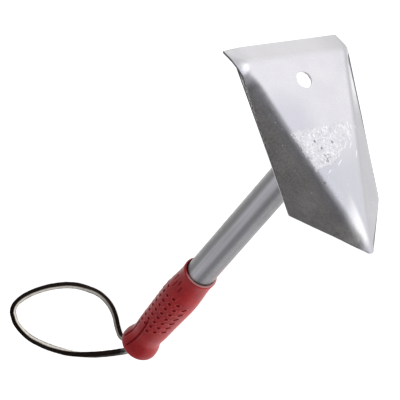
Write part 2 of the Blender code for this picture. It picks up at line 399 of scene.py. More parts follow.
def sheet_places(look):
    """Where a spot of the sheet is, and masks that the marks and tones share."""
    spot = look.place(LAID)
    depth, across, height = look.split(spot)
    away = look.maths("ABSOLUTE", across)
    ragged = look.noise(spot, 260.0, 4.0, 0.75)
    return SimpleNamespace(
        spot=spot,
        flat=look.vector("MULTIPLY", spot, (0, 1, 1)),
        across=across,
        height=height,
        away=away,
        past=look.maths("SUBTRACT", away, look.times(height, FOLD_HALF / BEND_HEIGHT)),
        front=look.stretch(depth, -0.0016, -0.0011),  # 1 on the panel's front and 0 on its back
        mottle=look.noise(spot, 1100.0, 2.0, 0.6),
        flakes=look.noise(spot, 420.0, 4.0, 0.7, 1.0),
        ragged=ragged,
        shift=look.times(look.maths("SUBTRACT", ragged, 0.5), 0.011),  # what roughens an outline
    )


def panel_tone(look, at, cloud):
    """A light panel, with painted shade toward the tip and a bluish painted shade beside the left fold, and a
    lip in painted shade, deeper toward its right end.
    """
    tone = look.mix(look.stretch(cloud, 0.3, 0.7), (0.68, 0.67, 0.71), (0.74, 0.73, 0.76))
    lower = look.stretch(at.height, 0.112, 0.062, 0.0, 0.7)
    tone = look.mix(lower, tone, (0.53, 0.535, 0.585))
    left = look.stretch(at.across, 0.006, -0.020, 0.0, 0.55)
    left = look.times(left, look.stretch(at.height, 0.150, 0.120))
    tone = look.mix(left, tone, (0.52, 0.52, 0.60))
    lip = look.mix(look.stretch(at.across, 0.020, 0.052), (0.62, 0.61, 0.625), (0.545, 0.535, 0.545))
    return look.mix(look.stretch(at.height, 0.163, 0.172), tone, lip)


def wing_tones(look, at, tone):
    """Grainy wings in painted shade, the left one darker upward, with a band of bluish painted shade beside
    the folds, and an even right wing in painted shade with painted light toward its upper outer edge.
    """
    left = look.mix(look.stretch(at.height, 0.085, 0.135), (0.565, 0.55, 0.545), (0.455, 0.445, 0.44))
    patches = look.noise(at.spot, 640.0, 3.0, 0.75)
    left = look.mix(look.stretch(patches, 0.35, 0.5, 0.55, 0.0), left, (0.38, 0.37, 0.37))
    left = look.mix(look.stretch(patches, 0.5, 0.68, 0.0, 0.50), left, (0.72, 0.70, 0.69))
    tone = look.mix(look.stretch(at.past, -0.003, 0.004), tone, left)
    band = look.times(look.stretch(at.past, -0.001, 0.002), look.stretch(at.past, 0.010, 0.003), 0.6)
    tone = look.mix(band, tone, (0.43, 0.435, 0.50))
    upper = look.times(look.stretch(at.past, 0.001, 0.006), look.stretch(at.height, 0.110, 0.145))
    right = look.mix(upper, (0.485, 0.485, 0.505), (0.85, 0.85, 0.87))
    to_right = look.times(look.stretch(at.past, -0.004, 0.003), look.stretch(at.across, 0.0, 0.01))
    return look.mix(to_right, tone, right)


def painted_tip_highlight(look, at, tone):
    """A painted highlight on the tip's left side."""
    near = look.stretch(look.maths("ADD", at.height, look.times(at.away, 1.5)), 0.055, 0.024)
    left = look.stretch(at.across, 0.0036, -0.0008)
    above = look.stretch(at.height, 0.004, 0.015)
    return look.mix(look.times(near, left, above), tone, (0.98, 0.98, 0.99))


def residue_mask(look, at):
    """Where the residue of something scraped off covers the panel's front."""
    reaches = []
    for corner, after in zip(RESIDUE_OUTLINE, RESIDUE_OUTLINE[1:], strict=False):
        here = Vector(corner)
        out = (Vector(after) - here).normalized().orthogonal()
        passed = look.vector("DOT_PRODUCT", at.spot, (0, *out), out="Value")
        reaches.append(look.maths("SUBTRACT", out.dot(here), passed))
    reach = look.maths("ADD", look.least(*reaches), at.shift)
    before_fold = look.maths("SUBTRACT", at.shift, at.past)
    return look.least(
        look.stretch(reach, -0.0003, 0.0009), look.stretch(before_fold, -0.0002, 0.0012), at.front
    )


def stain_mask(look, at, residue):
    """Dark pits in the residue, a cluster of them, and a few round stains."""
    pits = look.stretch(at.flakes, 0.36, 0.30, 0.0, 0.8)
    cluster = look.stretch(look.vector("DISTANCE", at.flat, (0, *PITS), out="Value"), 0.0045, 0.0030)
    cluster = look.times(cluster, look.stretch(at.flakes, 0.5, 0.44))
    pits = look.times(look.maths("MAXIMUM", pits, cluster), residue)
    gaps = [look.vector("DISTANCE", at.flat, (0, *place), out="Value") for place in STAINS]
    gap = look.maths("ADD", look.least(*gaps), look.times(at.shift, 0.15))
    stains = look.stretch(gap, 0.0013, 0.0005, 0.0, 1.3)
    return look.times(look.maths("MAXIMUM", pits, stains), at.front)


def thread_mask(look, at, residue):
    """Pale creases and crossing threads in the residue."""
    threads = look.stretch(at.flakes, 0.60, 0.68, 0.0, 0.4)
    for scale, stretched in ((110.0, (1, 1, 2.0)), (140.0, (1, 1.8, 0.8))):
        fibres = look.noise(look.place(LAID, stretched), scale, 2.0, 0.6, 0.9)
        fibre = look.maths("ABSOLUTE", look.maths("SUBTRACT", fibres, 0.5))
        threads = look.maths("MAXIMUM", threads, look.stretch(fibre, 0.026, 0.007))
    return look.times(threads, residue)


def scratches():
    """Starts, directions and lengths of scratches strewn beyond the residue's right and lower sides."""
    draw = random.Random(SCRATCH_SEED)
    for _ in range(SCRATCH_COUNT):
        corner = draw.randrange(1, len(RESIDUE_OUTLINE) - 1)
        here, there = (Vector(place) for place in RESIDUE_OUTLINE[corner : corner + 2])
        side = there - here
        start = here.lerp(there, draw.random())
        start += side.normalized().orthogonal() * SCRATCH_SPREAD * draw.random() ** 2
        turn = math.atan2(side.y, side.x) + draw.uniform(-SCRATCH_TURN, SCRATCH_TURN)
        yield start, (0, math.cos(turn), math.sin(turn)), draw.uniform(*SCRATCH_LENGTHS)


def scratch_mask(look, at):
    gaps = []
    for start, ahead, length in scratches():
        from_start = look.vector("SUBTRACT", at.flat, (0, *start))
        along = look.vector("DOT_PRODUCT", from_start, ahead, out="Value")
        along = look.add("ShaderNodeClamp", {0: along, 1: 0.0, 2: length})
        nearest = look.add("ShaderNodeVectorMath", {0: ahead, 3: along}, operation="SCALE")
        gaps.append(look.vector("DISTANCE", from_start, nearest, out="Value"))
    gap = look.maths("ADD", look.least(*gaps), look.times(at.shift, 0.12))
    return look.times(look.stretch(gap, 0.00065, 0.0002, 0.0, 0.6), at.front)


def speck_mask(look, at):
    """Fine specks all over, and a trail of them on the panel beside the left fold."""
    lone = look.noise(at.spot, 150.0, 1.0)
    specks = look.stretch(look.cells(at.spot, 330.0), 0.17, 0.10, 0.0, 0.5)
    specks = look.times(specks, look.stretch(lone, 0.58, 0.64))
    trail = look.times(
        look.stretch(at.past, -0.011, -0.006),
        look.stretch(at.past, 0.0, -0.002),
        look.stretch(at.height, 0.034, 0.046),
        look.stretch(at.height, 0.080, 0.066),
        look.stretch(at.across, 0.001, -0.001),
        look.stretch(at.mottle, 0.55, 0.68, 0.0, 0.55),
        at.front,
    )
    return look.maths("MAXIMUM", specks, trail)


def aluminium_sheet():
    look = Look("pressed_aluminium", Metallic=1.0)
    at = sheet_places(look)
    grain = look.noise(at.spot, 620.0, 4.0, 0.6)
    cloud = look.noise(at.spot, 38.0, 3.0, 0.55)
    residue = residue_mask(look, at)
    threads = thread_mask(look, at, residue)
    stains = stain_mask(look, at, residue)
    marks = look.maths("MAXIMUM", scratch_mask(look, at), speck_mask(look, at))
    tone = painted_tip_highlight(look, at, wing_tones(look, at, panel_tone(look, at, cloud)))
    tone = look.mix(look.stretch(at.mottle, 0.35, 0.75, 0.0, 0.30), tone, (0.46, 0.46, 0.48))
    tone = look.mix(residue, tone, (0.745, 0.74, 0.77))
    # Painted shade in the gaps between the residue's fibres
    gaps = look.times(look.stretch(at.ragged, 0.47, 0.40, 0.0, 0.6), residue)
    tone = look.mix(gaps, tone, (0.56, 0.56, 0.60))
    tone = look.mix(threads, tone, (0.92, 0.92, 0.95))
    tone = look.mix(marks, tone, (0.98, 0.98, 0.99))
    tone = look.mix(look.maths("MULTIPLY", stains, 0.65, clamp=True), tone, (0.24, 0.24, 0.26))
    # The rounded edge gets a painted highlight, and painted shade only at the upper left
    edge = look.attribute("edge")
    edge_shade = look.times(look.stretch(at.height, 0.085, 0.125), look.stretch(at.across, 0.0, -0.02))
    tone = look.mix(edge, tone, look.mix(edge_shade, (0.90, 0.90, 0.91), (0.25, 0.245, 0.24)))
    coat = look.maths("MAXIMUM", residue, marks)
    rough = look.maths(
        "ADD", look.stretch(cloud, 0.25, 0.75, 0.36, 0.42), look.stretch(grain, 0.3, 0.7, -0.03, 0.04)
    )
    rough = look.maths("ADD", rough, look.times(coat, 0.18))
    rough = look.maths("MAXIMUM", rough, look.times(edge, 0.65))
    relief = look.bump(look.maths("ADD", coat, threads), 0.00009, look.bump(grain, 0.00003))
    look.set(look.shader, {"Base Color": tone, "Roughness": rough, "Normal": relief})
    return look.material


def aluminium_tube():
    look = Look("drawn_aluminium", Metallic=1.0)
    spot = look.place(GRIP_FRAME)
    _, up, along = look.split(spot)
    drawn = look.noise(look.place(GRIP_FRAME, (1, 1, 0.012)), 900.0, 4.0, 0.6)
    bands = look.noise(look.place(GRIP_FRAME, (1, 1, 0.03)), 260.0, 2.0, 0.5)
    cloud = look.noise(spot, 60.0, 3.0, 0.6)
    grit = look.noise(spot, 1400.0, 2.0, 0.6)
    # Painted shade on the side that lies low, painted light on its top toward its far end, and a bluish
    # painted reflection streak along the middle
    base = look.mix(look.stretch(up, -0.0105, 0.0050), (0.215, 0.213, 0.225), (0.33, 0.325, 0.317))
    top = look.times(look.stretch(up, 0.0, 0.006, 0.0, 0.35), look.stretch(along, 0.255, 0.315))
    base = look.mix(top, base, (0.56, 0.55, 0.54))
    reflection_streak = look.stretch(up, -0.0095, -0.0045, 0.0, 0.88)
    reflection_streak = look.times(reflection_streak, look.stretch(up, 0.0022, -0.0026))
    base = look.mix(reflection_streak, base, (0.80, 0.80, 0.84))
    base = look.mix(look.stretch(bands, 0.35, 0.65, 0.35, 0.0), base, (0.33, 0.33, 0.35))
    base = look.mix(look.stretch(drawn, 0.35, 0.7, 0.0, 0.35), base, (0.36, 0.36, 0.37))
    base = look.mix(look.stretch(grit, 0.45, 0.75, 0.0, 0.30), base, (0.62, 0.62, 0.62))
    rough = look.maths(
        "ADD", look.stretch(cloud, 0.25, 0.75, 0.36, 0.46), look.stretch(drawn, 0.3, 0.7, -0.04, 0.05)
    )
    relief = look.bump(drawn, 0.000025)
    look.set(look.shader, {"Base Color": base, "Roughness": rough, "Normal": relief})
    return look.material


def weld_metal():
    look = Look("weld_metal", Metallic=1.0)
    spot = look.place(LAID)
    grit = look.noise(spot, 900.0, 4.0, 0.65)
    cloud = look.noise(spot, 160.0, 3.0, 0.5)
    base = look.mix(look.stretch(cloud, 0.35, 0.65), (0.50, 0.49, 0.48), (0.66, 0.66, 0.67))
    rough = look.stretch(grit, 0.3, 0.7, 0.38, 0.58)
    relief = look.bump(grit, 0.00005)
    look.set(look.shader, {"Base Color": base, "Roughness": rough, "Normal": relief})
    return look.material


def red_vinyl():
    look = Look("red_vinyl", IOR=1.46, Specular_IOR_Level=0.27)
    spot = look.place(GRIP_FRAME)
    _, up, along = look.split(spot)
    cloud = look.noise(spot, 70.0, 3.0, 0.6)
    grit = look.noise(spot, 1500.0, 3.0, 0.6)
    scuffs = look.noise(look.place(GRIP_FRAME, (1, 1, 0.4)), 380.0, 4.0, 0.7, 1.2)
    worn = look.stretch(scuffs, 0.58, 0.74)
    recess = look.attribute("recess")
    deep = look.stretch(recess, 0.05, 0.60)
    base = look.mix(look.stretch(cloud, 0.3, 0.7), (0.40, 0.009, 0.013), (0.54, 0.015, 0.020))
    # Painted shade on the grip's upper side
    base = look.mix(look.stretch(up, 0.001, 0.014, 0.0, 0.72), base, (0.20, 0.005, 0.007))
    base = look.mix(look.times(worn, 0.30), base, (0.66, 0.13, 0.13))
    # A painted highlight on the mouth's rim, on its lower side, painted highlights on the raised rings round
    # the dimples, and painted shade in the dimples and grooves
    mouth = look.stretch(along, GRIP_MOUTH + 0.0010, GRIP_MOUTH + 0.0002)
    mouth = look.times(mouth, look.stretch(up, 0.005, -0.003, 0.0, 0.75))
    base = look.mix(mouth, base, (0.80, 0.50, 0.49))
    ring = look.times(look.stretch(recess, -0.06, -0.24, 0.0, 0.48), look.stretch(scuffs, 0.38, 0.58))
    base = look.mix(ring, base, (0.88, 0.20, 0.20))
    base = look.mix(look.times(deep, 0.80), base, (0.19, 0.001, 0.002))
    rough = look.stretch(cloud, 0.3, 0.7, 0.32, 0.40)
    rough = look.maths("ADD", rough, look.times(worn, 0.16))
    rough = look.maths("MAXIMUM", rough, look.times(deep, 0.9))
    relief = look.bump(grit, 0.00003)
    look.set(look.shader, {"Base Color": base, "Roughness": rough, "Normal": relief})
    return look.material


def dark_leather():
    """Dark all round where flesh is 0, pale where it is 1, and blackened with painted shade where it is below
    0.
    """
    look = Look("dark_leather", IOR=1.4, Specular_IOR_Level=0.03)
    spot = look.add("ShaderNodeTexCoord", out="Object")
    flesh = look.attribute("flesh")
    pores = look.cells(spot, 1500.0)
    cloud = look.noise(spot, 120.0, 3.0, 0.6)
    fibres = look.noise(spot, 900.0, 4.0, 0.7)
    dark = look.mix(look.stretch(cloud, 0.3, 0.7), (0.008, 0.0045, 0.003), (0.022, 0.012, 0.0085))
    dark = look.mix(look.stretch(flesh, -1.0, 0.0), (0.002, 0.0015, 0.0015), dark)
    pale = look.mix(look.stretch(fibres, 0.3, 0.7), (0.70, 0.66, 0.585), (0.95, 0.91, 0.83))
    pale = look.mix(look.stretch(cloud, 0.55, 0.75, 0.0, 0.5), pale, (0.42, 0.38, 0.31))
    rough = look.stretch(cloud, 0.3, 0.7, 0.45, 0.58)
    rough = look.maths("ADD", rough, look.times(flesh, 0.35), clamp=True)
    relief = look.bump(pores, 0.00006, look.bump(fibres, 0.00008))
    base = look.mix(flesh, dark, pale)
    look.set(look.shader, {"Base Color": base, "Roughness": rough, "Normal": relief})
    return look.material


# Mesh helpers


def mesh_object(name, points, faces, material, normals=None, attributes=None):
    """A smooth piece from points in the frame's axes, with its sharp edges marked unless its normals are
    given.
    """
    data = bpy.data.meshes.new(name)
    data.from_pydata([tuple(p) for p in points], [], faces)
    data.validate()
    for layer, values in (attributes or {}).items():
        made = data.attributes.new(layer, "FLOAT", "POINT")
        made.data.foreach_set("value", np.array(values, dtype=np.float32))
    data.shade_smooth()
    if normals is None:
        data.set_sharp_from_angle(angle=SHARP)
    else:
        data.normals_split_custom_set_from_vertices([tuple(n) for n in normals])
    data.materials.append(material)
    piece = bpy.data.objects.new(name, data)
    bpy.context.scene.collection.objects.link(piece)
    return piece


def joined_rings(rings, loop=False, caps=False):
    """Points and faces through rings with the same number of points."""
    sides = len(rings[0])
    points = [p for ring in rings for p in ring]
    faces = []
    last = len(rings) if loop else len(rings) - 1
    for i in range(last):
        low, high = i * sides, (i + 1) % len(rings) * sides
        for j in range(sides):
            k = (j + 1) % sides
            faces.append((low + j, low + k, high + k, high + j))
    if caps:
        faces.append(tuple(reversed(range(sides))))
        faces.append(tuple(range((len(rings) - 1) * sides, len(rings) * sides)))
    return points, faces


def finished(piece, node):
    """Puts a piece on the tool's one body in place of its CAD node."""
    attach(piece, "root")
    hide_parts(node)


# Lace

LACE_STEP = 0.0026
LACE_CORNER = 0.0009  # the radius of its section's corners
PALE_FACE_ROWS = (-0.62, -0.5, -0.2, 0.2, 0.6)  # heights on the pale face, as shares of its half width
PALE_DEPTH = 0.00192  # the flesh side starts this far toward the pale face
PALE_BLEND = 0.00013
SHADED_FOOT = -0.0012  # the pale face is in painted shade below this, give or take a ragged edge
SHADED_FOOT_SHARE = 0.12
RAGGED = 0.0005
LACE_CLEAR = 0.0001  # kept from the floor and from the far end of the CAD's box
LACE_TILT = (  # (share of the length, degrees that the pale side faces up)
    (0.00, 0.0),
    (0.05, 20.0),
    (0.10, 60.0),
    (0.14, 78.0),
    (0.18, 80.0),
    (0.21, 79.0),
    (0.24, 66.0),
    (0.27, 52.0),
    (0.30, 40.0),
    (0.36, 25.0),
    (0.42, 17.0),
    (0.46, 9.0),
    (0.48, 0.0),
    (0.505, -30.0),
    (0.53, -28.0),
    (0.56, -10.0),
    (0.59, 4.0),
    (0.65, 14.0),
    (0.69, 8.0),
    (0.72, -4.0),
    (0.78, -20.0),
    (0.86, -20.0),
    (1.00, 0.0),
)


def smooth_route(points, step):
    """Evenly spaced points on a smooth curve through the route's points."""
    dense = []
    pieces = 24
    ends = [2 * points[0] - points[1], *points, 2 * points[-1] - points[-2]]
    for a, b, c, d in zip(ends, ends[1:], ends[2:], ends[3:], strict=False):
        for i in range(pieces):
            t = i / pieces
            bend = (2 * a - 5 * b + 4 * c - d) * t**2 + (3 * b - a - 3 * c + d) * t**3
            dense.append(0.5 * (2 * b + (c - a) * t + bend))
    dense.append(points[-1])
    lengths = [0.0]
    for a, b in zip(dense, dense[1:], strict=False):
        lengths.append(lengths[-1] + (b - a).length)
    places = np.linspace(0, lengths[-1], round(lengths[-1] / step) + 1)
    rows = [np.interp(places, lengths, [p[k] for p in dense]) for k in range(3)]
    return [Vector(p) for p in zip(*rows, strict=True)]


def lace_route():
    """From the knot out of the butt, round the loop on the floor, and back to the knot."""
    along = (LAID.to_3x3() @ AXIS).normalized()
    flat = Vector((along.x, along.y, 0)).normalized()
    left = Vector((flat.y, -flat.x, 0))
    butt = LAID @ (FOOT + AXIS * GRIP_BUTT)
    under = Vector((butt.x, butt.y, LACE_FLOOR))
    knot = LAID @ (FOOT + AXIS * KNOT_PLACE)
    reach = KNOT_RADIUS + GAP
    out = LAID @ (FOOT + AXIS * (GRIP_BUTT + BUTT_DOME + LACE_STRAIGHT))
    first = left * (STRAND_APART / 2)
    floor = [under - flat * x + left * y + Vector((0, 0, z)) for x, y, z in LACE_ROUTE]
    ends = [knot + along * reach, (knot + along * reach + out) / 2, out]
    route = [p + first for p in ends] + floor + [p - first for p in reversed(ends)]
    return smooth_route(route, LACE_STEP)


def lace_section():
    """The lace's section as (toward the pale side, up): a rounded rectangle."""
    half_thick, half_wide = LACE_THICK / 2, LACE_WIDTH / 2
    spots = [(half_thick, share * half_wide) for share in PALE_FACE_ROWS]
    for turn in range(4):
        corner_x = (half_thick - LACE_CORNER) * (1 if turn in (0, 3) else -1)
        corner_y = (half_wide - LACE_CORNER) * (1 if turn in (0, 1) else -1)
        for step in range(4):
            a = math.pi / 2 * (turn + step / 3)
            spots.append((corner_x + LACE_CORNER * math.cos(a), corner_y + LACE_CORNER * math.sin(a)))
    return spots


def lace_ring(point, ahead, share, inner):
    """The lace's section at a share of its length, and how pale each of its points is."""
    level = Vector((0, 0, 1)).cross(ahead).normalized() * inner
    up = ahead.cross(level) * inner
    shares, tilts = zip(*LACE_TILT, strict=True)
    tilt = math.radians(np.interp(share, shares, tilts))
    inward = level * math.cos(tilt) + up * math.sin(tilt)
    upward = up * math.cos(tilt) - level * math.sin(tilt)
    swollen = 1 + 0.10 * rise(share, 0.20, 0.30) + 0.06 * rise(share, 0.55, 0.62)
    # The pale face is dimmed with painted shade near the lace's start, and near its end strand and face are
    # blackened with painted shade
    unshaded = (1 - 0.45 * (1 - rise(share, 0.17, 0.24))) * (1 - rise(share, 0.82, 0.88))
    butt_shade = rise(share, 0.84, 0.90)
    foot = SHADED_FOOT + RAGGED * noise.noise(Vector((share * 140, 7.0, 0.0)))
    ring, flesh = [], []
    for across, above in lace_section():
        wobble = 1 + 0.05 * noise.noise(Vector((share * 90, across * 300, above * 300)))
        ring.append(point + (inward * across + upward * above) * swollen * wobble)
        facing = min(1.0, max(0.0, (across - PALE_DEPTH) / PALE_BLEND)) * unshaded
        flesh.append(facing * (SHADED_FOOT_SHARE if above < foot else 1.0) - butt_shade)
    return ring, flesh


def make_lace(material):
    route = lace_route()
    count = len(route)
    centre = sum(route, Vector()) / count
    travel = route[count // 2 + 1] - route[count // 2 - 1]
    inner = math.copysign(1, Vector((0, 0, 1)).cross(travel).dot(centre - route[count // 2]))
    lowest = (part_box("wrist_lace")[0][0] + LACE_CLEAR, -1.0, LACE_CLEAR)
    rings, flesh, path = [], [], []
    for i, point in enumerate(route):
        ahead = (route[min(i + 1, count - 1)] - route[max(i - 1, 0)]).normalized()
        ring, pale = lace_ring(point, ahead, i / (count - 1), inner)
        short = Vector([max(0.0, lowest[k] - min(p[k] for p in ring)) for k in range(3)])
        rings.append([p + short for p in ring])
        path.append(point + short)
        flesh += pale
    points, faces = joined_rings(rings, caps=True)
    lace = mesh_object("wrist_lace_leather", points, faces, material, attributes={"flesh": flesh})
    finished(lace, "wrist_lace")


KNOT_SIZE = 0.0021
KNOT_THICK = 0.0021  # half as thick as a strand of the knot
KNOT_STEPS, KNOT_SIDES = 120, 12


def make_knot(material):
    """Both ends tied in one round knot, inside the end of the tube: a trefoil."""
    centre = Vector((0, 0, KNOT_PLACE))
    line = []
    for i in range(KNOT_STEPS):
        t = 2 * math.pi * i / KNOT_STEPS
        x = math.sin(t) + 2 * math.sin(2 * t)
        y = math.cos(t) - 2 * math.cos(2 * t)
        line.append(Vector((x, y, -1.25 * math.sin(3 * t))) * KNOT_SIZE)
    turns = [2 * math.pi * j / KNOT_SIDES for j in range(KNOT_SIDES)]
    rings = []
    for i, point in enumerate(line):
        ahead = (line[(i + 1) % KNOT_STEPS] - line[i - 1]).normalized()
        side = ahead.cross(point.normalized()).normalized()
        up = side.cross(ahead)
        ring = [centre + point + (side * math.cos(a) + up * math.sin(a)) * KNOT_THICK for a in turns]
        rings.append([GRIP_FRAME @ p for p in ring])
    points, faces = joined_rings(rings, loop=True)
    flesh = [0.0] * len(points)
    knot = mesh_object("lace_knot_leather", points, faces, material, attributes={"flesh": flesh})
    finished(knot, "lace_knot")


# Blade

EDGE_ROUND = 0.00045
CORNER_ROUND = 0.0009
BLADE_STEP = 0.0015
GRID_MARGIN = 0.0006  # between the grid's points and the blade's outline
LIP_FLARE = 0.0705  # how far the grid widens for each metre up the lip
HOLE_SIDES = 72
SAME_SPOT = 1e-7
SLOPE_STEP = 0.0004
RIGHT_BEND_OUT, LEFT_BEND_OUT = 0.0009, 0.0006  # how far the bend's ends stick out past BEND_HALF

# How the press left the folds. A step is (amount, where it starts, where it is complete).
TIP_SOFTER, TIP_SOFTER_HEIGHT = 0.0028, 0.022
LEFT_TIGHTER, LEFT_TIGHTER_STEP = 0.0006, (0.0008, 0.090, 0.140)
RIGHT_SOFTER_STEP = (0.0030, 0.100, 0.150)
LIP_LEFT_SOFTER_STEP = (0.0085, 0.0440, 0.0535)
LIP_RIGHT_TIGHTER_STEP = (0.0018, 0.030, 0.050)
LIP_LEFT_LOWER_STEP = (0.0045, 0.038, 0.0545)
TIP_SHIFT, TIP_SHIFT_HEIGHT = 0.0033, 0.0055
LEFT_SHIFT, LEFT_SHIFT_STEP = 0.0010, (0.0012, 0.105, 0.145)
LEFT_DIP, LEFT_DIP_HEIGHT, LEFT_DIP_SPREAD = 0.0011, 0.0225, 0.0085
RIGHT_SHIFT, RIGHT_SHIFT_STEP = 0.0016, (0.0016, 0.050, 0.090)
LEFT_FADE, RIGHT_FADE = 0.007, 0.012  # how fast a shift eases off away from its fold
FAR_SHARE = 0.35  # what is left of it far from the fold
RIGHT_END_STEP = (0.75, 0.158, 0.174)  # the wings flatten into the lip's corners
LEFT_END_STEP = (0.70, 0.146, 0.160)
END_SIDE = 0.02
DENTS = (  # (y, z, size, depth)
    (0.0210, 0.0330, 0.0060, 0.00014),
    (0.0120, 0.0290, 0.0035, 0.00010),
    (-0.0200, 0.0300, 0.0050, 0.00010),
    (-0.0120, 0.1180, 0.0170, 0.00012),
    (0.0240, 0.1400, 0.0140, 0.00010),
    (0.0050, 0.0500, 0.0120, 0.00012),
    (-0.0360, 0.0900, 0.0120, 0.00010),
)
EDGE_SECTION = (  # (share of the rounding inset, depth in roundings, from the back?, outward lean)
    (1.00, 0.00, False, 0.0),
    (0.29, 0.29, False, 1.0),
    (0.00, 1.00, False, 4.0),
    (0.00, 1.00, True, 4.0),
    (0.29, 0.29, True, 1.0),
    (1.00, 0.00, True, 0.0),
)


def stepped(value, step):
    amount, low, high = step
    return amount * rise(value, low, high)


def hump(value, centre, spread):
    """1 at the centre and towards 0 on both sides."""
    return math.exp(-(((value - centre) / spread) ** 2))


def rounded_outline():
    """The blade's outline, (y, z) counter-clockwise, with close points at its small corners."""
    slope, _ = wing_side()
    tip = [
        Vector((TIP_RADIUS * math.sin(a), TIP_RADIUS * (1 - math.cos(a))))
        for a in np.linspace(-(math.pi / 2 - slope), math.pi / 2 - slope, 15)
    ]
    corners = [
        (WING_HALF, WING_HEIGHT),
        (BEND_HALF + RIGHT_BEND_OUT, BEND_HEIGHT),
        (LIP_HALF, BEND_HEIGHT + LIP_RUN),
        (-LIP_HALF, BEND_HEIGHT + LIP_RUN),
        (-BEND_HALF - LEFT_BEND_OUT, BEND_HEIGHT),
        (-WING_HALF, WING_HEIGHT),
    ]
    ring = [tip[-1], *(Vector(c) for c in corners), tip[0]]
    outline = list(tip)
    for before, corner, after in zip(ring, ring[1:], ring[2:], strict=False):
        back, ahead = (before - corner).normalized(), (after - corner).normalized()
        start, end = corner + back * CORNER_ROUND, corner + ahead * CORNER_ROUND
        outline += fill_line(outline[-1], start)
        for t in np.linspace(0, 1, 5):
            outline.append(start * (1 - t) ** 2 + corner * 2 * t * (1 - t) + end * t**2)
    outline += fill_line(outline[-1], tip[0])
    return outline


def fill_line(start, end):
    """Evenly spaced points between two points, without them."""
    count = max(1, round((end - start).length / BLADE_STEP))
    return [start.lerp(end, i / count) for i in range(1, count)]


def wing_drop(across, z, shift, fade, soft):
    """How far one wing has bent back at a distance across the blade, before its slope is applied."""
    past = across * math.cos(FOLD) - z * math.sin(FOLD)
    kept = FAR_SHARE + (1 - FAR_SHARE) * math.exp(-max(past, 0.0) / fade)
    return ramp(past + shift * kept, soft)


def surface(y, z):
    """The front face, with folds that wander and ease out at the tip and at the lip's corners, and
    with the small dents and waves of pressed sheet."""
    soft = SOFT_FOLD + TIP_SOFTER * math.exp(-z / TIP_SOFTER_HEIGHT)
    soft_left = soft - LEFT_TIGHTER - stepped(z, LEFT_TIGHTER_STEP)
    soft_right = soft + stepped(z, RIGHT_SOFTER_STEP)
    tip_shift = -TIP_SHIFT * hump(z, 0.0, TIP_SHIFT_HEIGHT)
    left_shift = tip_shift + LEFT_SHIFT + stepped(z, LEFT_SHIFT_STEP)
    left_shift -= LEFT_DIP * hump(z, LEFT_DIP_HEIGHT, LEFT_DIP_SPREAD)
    right_shift = tip_shift + RIGHT_SHIFT - stepped(z, RIGHT_SHIFT_STEP)
    wings = wing_drop(-y, z, left_shift, LEFT_FADE, soft_left)
    wings += wing_drop(y, z, right_shift, RIGHT_FADE, soft_right)
    wings *= 1 - stepped(z, RIGHT_END_STEP) * rise(y, 0.0, END_SIDE)
    wings *= 1 - stepped(z, LEFT_END_STEP) * rise(-y, 0.0, END_SIDE)
    soft_lip = SOFT_LIP + stepped(-y, LIP_LEFT_SOFTER_STEP) - stepped(y, LIP_RIGHT_TIGHTER_STEP)
    lip = ramp(z - BEND_HEIGHT + stepped(-y, LIP_LEFT_LOWER_STEP), soft_lip)
    x = -math.tan(WING_ANGLE) * wings - math.tan(LIP_ANGLE) * lip
    for dent_y, dent_z, size, depth in DENTS:
        x -= depth * hump(y, dent_y, size) * hump(z, dent_z, size)
    return Vector((x, y, z))


def surface_normal(y, z):
    across = surface(y + SLOPE_STEP, z) - surface(y - SLOPE_STEP, z)
    upward = surface(y, z + SLOPE_STEP) - surface(y, z - SLOPE_STEP)
    return across.cross(upward).normalized()


def edge_loops(outline, inward):
    """Six loops of (point, normal) round an edge, from the front face to the back."""
    loops = []
    for share, deep, behind, lean in EDGE_SECTION:
        loop = []
        for spot, turn in zip(outline, inward, strict=True):
            y, z = spot + turn * (EDGE_ROUND * share)
            normal = surface_normal(y, z)
            depth = SHEET - EDGE_ROUND * deep if behind else EDGE_ROUND * deep
            out = Vector((0, -turn.x, -turn.y))
            out = (out - normal * out.dot(normal)).normalized()
            face = -normal if behind else normal
            loop.append((surface(y, z) - normal * depth, (face + out * lean).normalized()))
        loops.append(loop)
    return loops


def inward_turns(outline):
    """The way in from each point of an outline."""
    turns = []
    for i in range(len(outline)):
        along = outline[(i + 1) % len(outline)] - outline[i - 1]
        turns.append(Vector((-along.y, along.x)).normalized())
    return turns


def blade_grid():
    """Staggered rows of points inside the blade's outline and clear of the hang hole, at (y, z)."""
    slope, apex = wing_side()
    centre = Vector((0, HOLE_HEIGHT))
    top = BEND_HEIGHT + LIP_RUN
    grid = []
    for row in range(1, int(top / BLADE_STEP) + 1):
        z = row * BLADE_STEP
        if z < TIP_RADIUS or z > top - EDGE_ROUND - GRID_MARGIN:
            continue
        limit = min(
            (z - apex) * math.tan(slope) - GRID_MARGIN / math.cos(slope),
            BEND_HALF + (z - BEND_HEIGHT) * LIP_FLARE - GRID_MARGIN,
            LIP_HALF - GRID_MARGIN,
        )
        odd = row % 2
        columns = int(limit / BLADE_STEP - 0.5 * odd)
        for column in range(-columns - odd, columns + 1):
            spot = Vector(((column + 0.5 * odd) * BLADE_STEP, z))
            clear = (spot - centre).length > HOLE_RADIUS + EDGE_ROUND + GRID_MARGIN
            if abs(spot.x) < limit - EDGE_ROUND and clear:
                grid.append(spot)
    return grid


